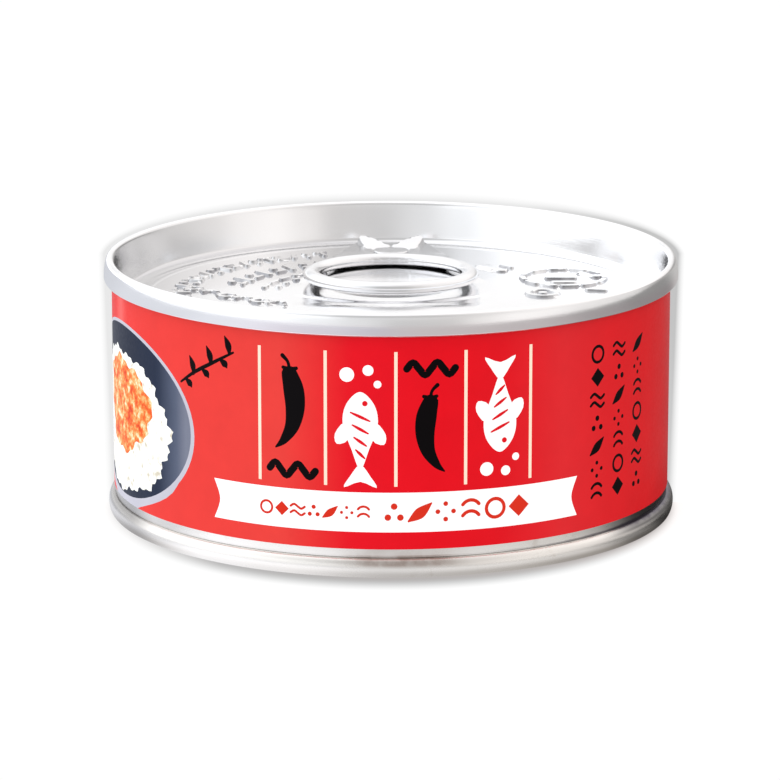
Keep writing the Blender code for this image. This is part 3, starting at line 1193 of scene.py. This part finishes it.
def brush(points, widths, steps=6):
    # a stroke along a soft curve, with the width given at each point and round ends
    spine = smoothCurve([(*p, w) for p, w in zip(points, widths)], steps=steps)
    left, right = [], []
    for i, (x, y, w) in enumerate(spine):
        ax, ay, _ = spine[max(i - 1, 0)]
        bx, by, _ = spine[min(i + 1, len(spine) - 1)]
        size = hypot(bx - ax, by - ay) or 1
        nx, ny = -(by - ay) / size, (bx - ax) / size
        left.append((x + nx * w / 2, y + ny * w / 2))
        right.append((x - nx * w / 2, y - ny * w / 2))

    def cap(i, j):
        x, y, w = spine[i]
        ax, ay, _ = spine[j]
        away = degrees(atan2(y - ay, x - ax))
        return arcPoints((x, y), w / 2, away - 60, away + 60, 4)

    return [*left, *reversed(cap(-1, -2)), *reversed(right), *reversed(cap(0, 1))]


def disc(x, y, radius, count=20):
    return arcPoints((x, y), radius, 0, 360, count)[:-1]


def ellipse(x, y, a, b, count=72):
    return [(x + a * u, y + b * v) for u, v in disc(0, 0, 1, count)]


def raggedLoop(x, y, a, b, count, waves):
    # an ellipse whose edge swells and shrinks; each wave is (share, number round the loop, shift)
    loop = []
    for k, (u, v) in enumerate(disc(0, 0, 1, count)):
        turn = 2 * pi * k / count
        ragged = 1 + sum(share * sin(number * turn + shift) for share, number, shift in waves)
        loop.append((x + a * ragged * u, y + b * ragged * v))
    return loop


printShape = {
    "ruleLines": (-17.3, -8.37, 0.62, 9.58, 18.5),
    "ruleBottom": 11.9,
    "ruleTop": 29.4,
    "ruleWidth": 0.42,
    "ribbonBottom": 5.9,
    "ribbonTop": 11.1,
    "ribbonLeft": -24.4,
    "ribbonRight": 26.0,
    "ribbonNotch": 0.95,
    "bowlCentre": (-46.0, 15.9),
    "bowlHalfWidth": 18.2,
    "bowlHalfHeight": 12.0,
    "backPanel": (6, 7, 24, 28),
    "backMargin": 1.5,
    "backRule": 0.2,
}


def chilli(x, y, length, flip=1, lean=0.0):
    # a plump pod that hangs in a curve, with its stalk above
    def at(along, side):
        return x + flip * (side + lean * along) * length / 10, y - along * length / 10

    pod = [at(0, 0), at(2, 0.55), at(4.5, 0.75), at(7, 0.3), at(9, -0.9), at(10, -2.0)]
    widths = [w * length / 10 for w in (2.3, 2.9, 2.7, 2.0, 1.1, 0.25)]
    cap = [at(-0.9, -0.9), at(-0.55, 0), at(-0.9, 0.95)]
    stalk = [at(-0.6, 0), at(-1.7, -0.25), at(-2.5, -1.0)]
    return [
        brush(pod, widths),
        brush(cap, [w * length / 10 for w in (0.5, 0.95, 0.5)]),
        brush(stalk, [w * length / 10 for w in (0.5, 0.45, 0.6)]),
    ]


def wave(x, y, width, thick, humps=2, height=0.8):
    count = humps * 4
    points = []
    for i in range(count + 1):
        t = i / count
        points.append((x + width * (t - 0.5), y + height * sin(2 * pi * humps * t)))
    return brush(points, [thick] * len(points), 4)


def fish(x, y, length, flip=1):
    # a fish seen from the side, standing on its tail; flip turns its head down
    def at(along, side):
        return x + side * length / 10, y + flip * along * length / 10

    half = [(-3.4, 0), (-1.2, 0.95), (1.4, 1.85), (3.6, 1.5), (5.0, 0)]
    body = half + [(along, -side) for along, side in half[-2:0:-1]]
    tail = [(-2.9, 0), (-4.2, 1.1), (-5.4, 1.75), (-4.75, 0), (-5.4, -1.75), (-4.2, -1.1)]
    fin = [(1.6, 1.7), (0.4, 2.7), (-0.7, 2.5), (-0.2, 1.3)]
    otherFin = [(along, -side) for along, side in fin]
    white = [smoothCurve([at(*p) for p in body], True)]
    white += [smoothCurve([at(*p) for p in part], True, 3) for part in (tail, fin, otherFin)]
    stripes = []
    for i in range(4):
        along = 2.3 - 1.35 * i
        reach = 1.35 - 0.24 * i
        ends = [at(along + 0.45, -reach * 0.75), at(along, 0), at(along - 0.45, reach * 0.75)]
        stripes.append(brush(ends, [0.22, 0.42, 0.22], 4))
    eye = disc(*at(3.75, 0.5), length / 34)
    return white, [eye, *stripes]


def rectangle(left, low, right, high):
    return [(left, low), (right, low), (right, high), (left, high)]


def ribbonShape():
    s = printShape
    low, high = s["ribbonBottom"], s["ribbonTop"]
    middle = (low + high) / 2
    left, right, notch = s["ribbonLeft"], s["ribbonRight"], s["ribbonNotch"]
    rightEnd = smoothCurve([(right, low), (right - notch, middle), (right, high)])
    leftEnd = smoothCurve([(left, high), (left + notch, middle), (left, low)])
    return rightEnd + leftEnd


def labelPrint():
    # (ink, outline) from the bottom layer up
    s = printShape
    layers = []

    def add(ink, *outlines):
        layers.extend((ink, outline) for outline in outlines)

    width = s["ruleWidth"] / 2
    for u in s["ruleLines"]:
        add("cream", rectangle(u - width, s["ruleBottom"], u + width, s["ruleTop"]))
    add("white", ribbonShape())
    # four columns of drawn motifs between the cream rules
    add("black", *chilli(-13.1, 26.0, 9.6, 1))
    add("black", wave(-12.8, 13.6, 6.2, 0.95))
    white, holes = fish(-3.9, 18.2, 12.0)
    add("white", *white)
    add("red", *holes)
    add("white", disc(-5.6, 26.4, 0.95), disc(-2.9, 27.0, 0.7), disc(-1.7, 25.2, 0.5))
    add("black", wave(5.1, 27.2, 6.2, 0.95))
    add("black", *chilli(5.0, 22.8, 9.0, -1))
    white, holes = fish(14.2, 21.8, 12.0, -1)
    add("white", *white)
    add("red", *holes)
    add("white", disc(12.4, 13.7, 0.9), disc(15.0, 13.3, 0.65), disc(16.4, 15.0, 0.5))
    # small marks along the ribbon
    middle = (s["ribbonBottom"] + s["ribbonTop"]) / 2
    for i in range(7):
        u = -16.4 + 2.15 * i
        addMark(add, "redOrange", u, middle - 0.1, 1.9, i, "white")
    for i in range(6):
        u = 0.4 + 3.3 * i
        addMark(add, "redOrange", u, middle, 2.9, i + 3, "white")
    # a small sprig beside the columns
    stem = [(-30.2, 22.9), (-27.6, 24.6), (-24.6, 26.2), (-21.2, 28.0)]
    add("black", brush(stem, [0.3, 0.5, 0.5, 0.3]))
    for i in range(6):
        t = (i + 0.6) / 6
        x, y = -30.2 + 9.0 * t, 22.9 + 5.1 * t
        side = 1 if i % 2 else -1
        tipX, tipY = x + 0.2 - side * 0.9, y + side * 1.6 + 0.7
        belly = ((x + tipX) / 2 + 0.2, (y + tipY) / 2)
        add("black", brush([(x, y), belly, (tipX, tipY)], [0.3, 1.0, 0.2]))
    # three columns of small black marks near the right edge
    for column, u in enumerate((29.6, 34.0, 38.6)):
        for i in range(7):
            addMark(add, "black", u, 26.6 - 3.05 * i, 2.5, i + 2 * column)
    addBowl(add)
    # a plain cream panel with thin rules on each side of the back
    near, low, far, high = s["backPanel"]
    margin, thin = s["backMargin"], s["backRule"] / 2
    back = pi * labelHigh.x
    for left, right in ((near - back, far - back), (back - far, back - near)):
        add("cream", rectangle(left, low, right, high))
        for i in range(8):
            z = low + 2.2 + 2.4 * i
            add("black", rectangle(left + margin, z - thin, right - margin, z + thin))
    return layers


def addMark(add, ink, u, z, size, kind, under="red"):
    # small plain ornaments: ring, lozenge, wave pair, three dots, leaf, cross of dots, arc pair
    half = size / 2
    line = 0.16 * size
    kind %= 7
    if kind == 0:
        add(ink, disc(u, z, half, 24))
        add(under, disc(u, z, half - line, 24))
    elif kind == 1:
        add(ink, [(u - half, z), (u, z - half), (u + half, z), (u, z + half)])
    elif kind == 2:
        for dz in (0.45, -0.45):
            add(ink, wave(u, z + half * dz, size, line, 1, half * 0.3))
    elif kind == 3:
        for dx, dy in ((-0.55, -0.45), (0.55, -0.45), (0, 0.55)):
            add(ink, disc(u + dx * half, z + dy * half, 0.3 * half, 10))
    elif kind == 4:
        leaf = [(u - half, z - half * 0.8), (u, z - 0.1), (u + half, z + half * 0.8)]
        add(ink, brush(leaf, [0.1 * size, 0.5 * size, 0.08 * size]))
    elif kind == 5:
        for dx, dy in ((-0.7, 0), (0.7, 0), (0, -0.7), (0, 0.7)):
            add(ink, disc(u + dx * half, z + dy * half, 0.22 * half, 10))
    else:
        for dy in (-0.5, 0.5):
            bow = arcPoints((u, z + dy * half - 0.5 * half), half * 0.9, 35, 145, 6)
            add(ink, brush(bow, [line] * len(bow), 2))


def addBowl(add):
    # a pictured bowl of rice with a chopped topping, cut off by the label's lower edge
    s = printShape
    cx, cy = s["bowlCentre"]
    a, b = s["bowlHalfWidth"], s["bowlHalfHeight"]
    floor = labelLow.z
    wall = [(cx + a, cy)]
    wall += smoothCurve([(cx + a, cy), (cx + a * 0.76, cy - 8.2), (cx + a * 0.26, floor)])[1:]
    wall += smoothCurve([(cx - a * 0.26, floor), (cx - a * 0.76, cy - 8.2), (cx - a, cy)])
    add("china", wall)
    add("china", ellipse(cx, cy, a, b))
    add("navy", ellipse(cx - 0.1, cy + 0.1, a - 0.55, b - 0.55))
    riceWaves = [(0.03, 7, 1), (0.025, 19, 0), (0.022, 43, 2)]
    add("rice", raggedLoop(cx - 0.6, cy - 1.3, a - 4.3, b - 2.6, 150, riceWaves))
    toppingWaves = [(0.07, 3, 1), (0.05, 8, 0), (0.035, 17, 2)]
    add("topping", raggedLoop(cx + 0.2, cy + 1.0, 8.4, 6.2, 70, toppingWaves))


paperShape = {
    "thickness": 0.09,
    "lap": 8.0,
    "step": 1.25,
    "ramp": 3.0,
}


def makeLabel():
    s = paperShape
    radius = labelHigh.x
    low, high = labelLow.z, labelHigh.z
    half = pi * radius + s["lap"] / 2
    columns = int(2 * half / (radius * radians(s["step"])))
    corners, edges, areas, names = [], [], [], []
    layers = [("red", rectangle(-half, low, half, high)), *labelPrint()]
    for ink, outline in layers:
        area = sum(ax * by - bx * ay for (ax, ay), (bx, by) in zip(outline, outline[1:] + outline[:1]))
        if area < 0:
            outline = outline[::-1]
        start = len(corners)
        corners += [(min(max(u, -half), half), min(max(z, low), high)) for u, z in outline]
        areas.append(list(range(start, len(corners))))
        names.append(ink)
    for i in range(1, columns):
        u = -half + 2 * half * i / columns
        edges.append((len(corners), len(corners) + 1))
        corners += [(u, low), (u, high)]
    flat, _, faces, _, _, owners = delaunay_2d_cdt([Vector(p) for p in corners], edges, areas, 1, 1e-5)
    inkNames = list(dict.fromkeys(names))
    special = {
        "topping": makeTopping,
        "rice": makeRice,
        "red": lambda: makeTurnedInk("red", redSheenAndShadeStops),
        "navy": lambda: makeTurnedInk("navy", navyStops),
    }
    materials = {ink: special[ink]() if ink in special else makeInk(ink, inks[ink]) for ink in inkNames}

    lapStart = half - s["lap"]

    def onCan(u, z, inward):
        # the right end climbs over the left one at the back
        lift = s["thickness"] * 1.05 * float(smoothStep(np.float64(u), lapStart - s["ramp"], lapStart))
        turn = -pi / 2 + u / radius
        r = radius + lift - inward
        return r * cos(turn), r * sin(turn), z

    points = [onCan(p.x, p.y, 0) for p in flat]
    points += [onCan(p.x, p.y, s["thickness"]) for p in flat]
    count = len(flat)
    outer = [list(f) for f in faces]
    inner = [[c + count for c in reversed(f)] for f in outer]
    used = {}
    for f in outer:
        for a, b in zip(f, f[1:] + f[:1]):
            used[(a, b)] = used.get((a, b), 0) + 1
    rims = [[b, a, a + count, b + count] for a, b in used if (b, a) not in used]
    label = addMesh("paperLabel", points, outer + inner + rims)
    for ink in inkNames:
        label.data.materials.append(materials[ink])
    paperEdge = inkNames.index("white")
    top = [inkNames.index(names[max(o)]) if o else 0 for o in owners]
    label.data.polygons.foreach_set("material_index", top + [paperEdge] * (len(inner) + len(rims)))
    label.data.shade_smooth()
    label.data.set_sharp_from_angle(angle=radians(40))
    label.data.update()
    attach(label, "root")
    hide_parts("label")


makeLabel()
print("label printed and wrapped")


# Floor and light

# brightness by the turn from the front towards the right, in degrees; each band is a height in the sky
studio = {
    "low": [
        (-180, 1.15), (-165, 1.4), (-135, 1.6), (-90, 1.55), (-60, 1.3), (-44, 1.2), (-30, 1.04),
        (-12, 0.86), (5, 0.66), (23, 0.68), (36, 0.96), (51, 1.1), (66, 1.06), (82, 0.94),
        (108, 0.88), (135, 0.46), (160, 0.42), (180, 1.15),
    ],
    "middle": [
        (-180, 1.12), (-162, 1.0), (-140, 1.3), (-120, 1.5), (-94, 1.5), (-60, 1.45), (-42, 1.4),
        (-28, 1.25), (-14, 0.86), (0, 0.78), (30, 0.78), (50, 1.0), (90, 0.98), (120, 1.2), (145, 1.05),
        (180, 1.12),
    ],
    "upper": [
        (-180, 1.3), (-95, 1.5), (-60, 1.3), (-38, 1.0), (-20, 0.66), (22, 0.64), (42, 0.86), (70, 1.1),
        (120, 1.25), (180, 1.3),
    ],
    "zenith": [(-180, 1.3), (-60, 1.3), (-25, 1.1), (25, 1.0), (60, 1.0), (120, 1.2), (180, 1.3)],
    "middleFrom": (0.165, 0.24),
    "upperFrom": (0.3, 0.4),
    "zenithFrom": (0.88, 0.97),
    "warmSide": (1.0, 0.97, 0.95),
    "coolSide": (0.97, 0.985, 1.0),
    "behindCan": 1.2,
    "metalShare": 0.926,
    "softShare": 1.5,
}

# what the metal sees of the table, by the same turn, close to the can and far from it
floorLook = {
    "size": 6000,
    "far": [
        (-180, 0.62), (-141, 0.76), (-120, 0.85), (-86, 0.84), (-66, 0.93), (-54, 0.96), (-26, 0.8),
        (0, 0.64), (24, 0.61), (52, 0.57), (84, 0.39), (108, 0.31), (132, 0.3), (150, 0.58),
        (180, 0.62),
    ],
    "near": [
        (-180, 0.5), (-100, 1.15), (-83, 1.2), (-63, 0.85), (-45, 1.4), (-22, 1.3), (0, 0.9), (22, 0.95),
        (44, 0.78), (62, 0.24), (78, 0.04), (92, 0.04), (120, 0.2), (180, 0.5),
    ],
    "nearRadius": 0.046,
    "farRadius": 0.06,
    "coolSide": (0.95, 0.975, 1.04),
    "warmSide": (1.0, 0.98, 0.96),
    "metalShare": 0.926,
    "softLight": 1.0,
    "footShadow": (0.0352, 0.0412),
    "mirroredDepth": 0.25,
    "lampShadowLength": 0.1687,
    "lampShadowRadius": (0.0376, 0.05),
    "softSide": 0.0015,
    "softBehind": 0.0118,
    "softFront": 0.0067,
    "fullShare": 0.89,
    "depthLeft": 0.2,
    "depthRight": 0.46,
    "depthRightFrom": (0.025, 0.045),
    "depthFront": 0.53,
    "depthFrontFrom": (-0.035, -0.022),
    "white": 1.02,
    # painted reflection of the warm seam, close to the foot
    "seamReflectionTint": (1.0, 0.935, 0.915),
    "seamReflectionReach": (0.0377, 0.0403),
    "seamReflectionFrom": (-0.02, 0.0),
    "sides": (-0.04, 0.04),
}


def makeFloor():
    s = floorLook
    half = s["size"] / 2
    corners = [(x, y, 0) for x, y in rectangle(-half, -half, half, half)]
    floor = addMesh("floor", corners, [[0, 1, 2, 3]])
    look = bpy.data.materials.new("white table")
    look.use_nodes = True
    look.node_tree.nodes.clear()
    t = Tree(look.node_tree)
    x, y, z = t.parts(t.place())
    share = t.turnShare(x, y)
    out = t.distance(x, y)
    outward = t.ease(out, s["nearRadius"], s["farRadius"])
    level = t.blend(outward, t.tones(share, s["near"]), t.tones(share, s["far"]))
    # the metal mirrors a faint shadow under the foot
    dark = t.ease(out, *s["footShadow"], 1.0, 0.0)
    mirrored = t.span(dark, 0.0, 1.0, s["metalShare"], s["metalShare"] * (1 - s["mirroredDepth"]))
    # the soft shadow round the foot: narrow at the sides, wider in front, and long and faint behind
    along = t.math("MINIMUM", t.math("MAXIMUM", y, 0.0), s["lampShadowLength"])
    behind = t.minus(y, along)
    reach = t.distance(x, behind)
    turned = t.math("DIVIDE", behind, t.math("MAXIMUM", reach, 0.001))
    turned = t.times(turned, turned)
    inFront = t.math("LESS_THAN", y, 0.0)
    soft = t.blend(turned, s["softSide"], t.blend(inFront, s["softBehind"], s["softFront"]))
    radius = t.span(along, 0.0, s["lampShadowLength"], *s["lampShadowRadius"])
    edge = t.math("DIVIDE", t.minus(reach, radius), soft)
    edge = t.minus(1.0, t.math("MINIMUM", t.math("MAXIMUM", edge, 0.0), 1.0))
    steady = t.ease(edge, 0.0, s["fullShare"])
    fade = t.blend(t.times(inFront, turned), t.times(edge, edge), steady)
    depthBehind = t.span(x, *s["depthRightFrom"], s["depthLeft"], s["depthRight"])
    depthFront = t.span(x, *s["depthFrontFrom"], s["depthLeft"], s["depthFront"])
    depth = t.blend(inFront, depthBehind, depthFront)
    white = t.times(t.minus(1.0, t.times(fade, depth)), s["white"])
    # painted reflection of the warm seam in the table, close to the foot and in front
    seamReflection = t.times(t.span(out, *s["seamReflectionReach"], 1.0, 0.0), t.span(x, *s["seamReflectionFrom"], 0.2, 1.0))
    seamReflection = t.tint(t.times(seamReflection, inFront), (1.0, 1.0, 1.0), s["seamReflectionTint"])
    toCamera = t.node("ShaderNodeEmission", {"Color": seamReflection, "Strength": white})
    tint = t.tint(t.span(x, *s["sides"]), s["coolSide"], s["warmSide"])
    path = t.node("ShaderNodeLightPath").outputs
    seenLevel = t.blend(path["Is Diffuse Ray"], t.times(level, mirrored), s["softLight"])
    toMetal = t.node("ShaderNodeEmission", {"Color": tint, "Strength": seenLevel})
    inputs = {0: path["Is Camera Ray"], 1: toMetal.outputs[0], 2: toCamera.outputs[0]}
    mix = t.node("ShaderNodeMixShader", inputs)
    t.node("ShaderNodeOutputMaterial", {"Surface": mix.outputs[0]})
    look.cycles.emission_sampling = "NONE"
    floor.data.materials.append(look)


def makeStudio():
    s = studio
    world = bpy.data.worlds.new("studio")
    scene.world = world
    world.use_nodes = True
    world.node_tree.nodes.clear()
    t = Tree(world.node_tree)
    x, y, z = t.parts(t.place("Generated"))
    share = t.turnShare(x, y)
    level = t.tones(share, s["low"])
    for name in ("middle", "upper", "zenith"):
        start, end = s[name + "From"]
        level = t.blend(t.ease(z, start, end), level, t.tones(share, s[name]))
    path = t.node("ShaderNodeLightPath").outputs
    # paper and print get more of the soft light than the metal mirrors
    level = t.times(level, t.span(path["Is Diffuse Ray"], 0.0, 1.0, s["metalShare"], s["softShare"]))
    tint = t.tint(t.span(x, -0.5, 0.5), s["coolSide"], s["warmSide"])
    light = t.node("ShaderNodeBackground", {"Color": tint, "Strength": level})
    white = t.node("ShaderNodeBackground", {"Strength": s["behindCan"]})
    inputs = {0: path["Is Camera Ray"], 1: light.outputs[0], 2: white.outputs[0]}
    mix = t.node("ShaderNodeMixShader", inputs)
    t.node("ShaderNodeOutputWorld", {"Surface": mix.outputs[0]})


makeFloor()
makeStudio()
scene.view_settings.view_transform = "Standard"
print("floor and light set")
